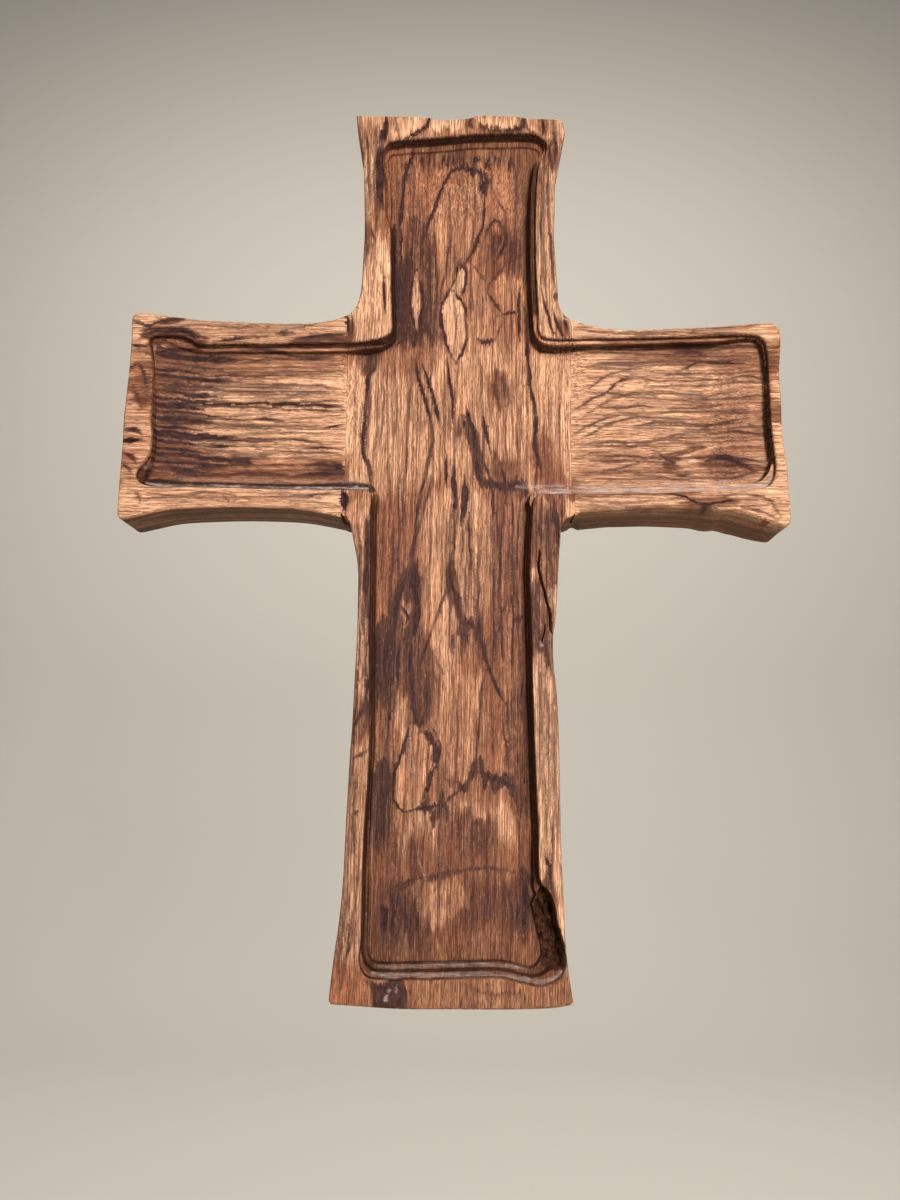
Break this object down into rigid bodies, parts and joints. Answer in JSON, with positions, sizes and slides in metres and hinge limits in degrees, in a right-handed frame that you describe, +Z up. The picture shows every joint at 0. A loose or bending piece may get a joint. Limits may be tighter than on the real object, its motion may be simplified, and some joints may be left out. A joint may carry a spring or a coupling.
{
  "type": "wall cross",
  "caption": "Latin wall cross of solid olive wood: half-lapped boards with flared, hollow-sided limbs, a stepped tray routed into the front and a sawtooth hanger let into the back.",
  "frame": {"origin": "middle of the crossing on the flat back face, which lies against the wall", "axes": "+X to the viewer's right, +Y into the wall, +Z up; the tray faces -Y"},
  "size_m": [0.226, 0.021, 0.3035],
  "materials": {
    "olive_upright": "bare olive heartwood, vertical grain, dark irregular veins, satin where sanded",
    "olive_crossbar": "bare olive wood, horizontal grain, dark streaks towards the ends, satin where sanded",
    "plated_steel": "yellow-passivated zinc plate",
    "nail_steel": "bright drawn steel"
  },
  "bodies": {
    "root": {"upright": "olive_upright", "crossbar": "olive_crossbar", "sawtooth_hanger": "plated_steel", "hanger_nail_left": "nail_steel", "hanger_nail_right": "nail_steel"}
  },
  "joints": []
}
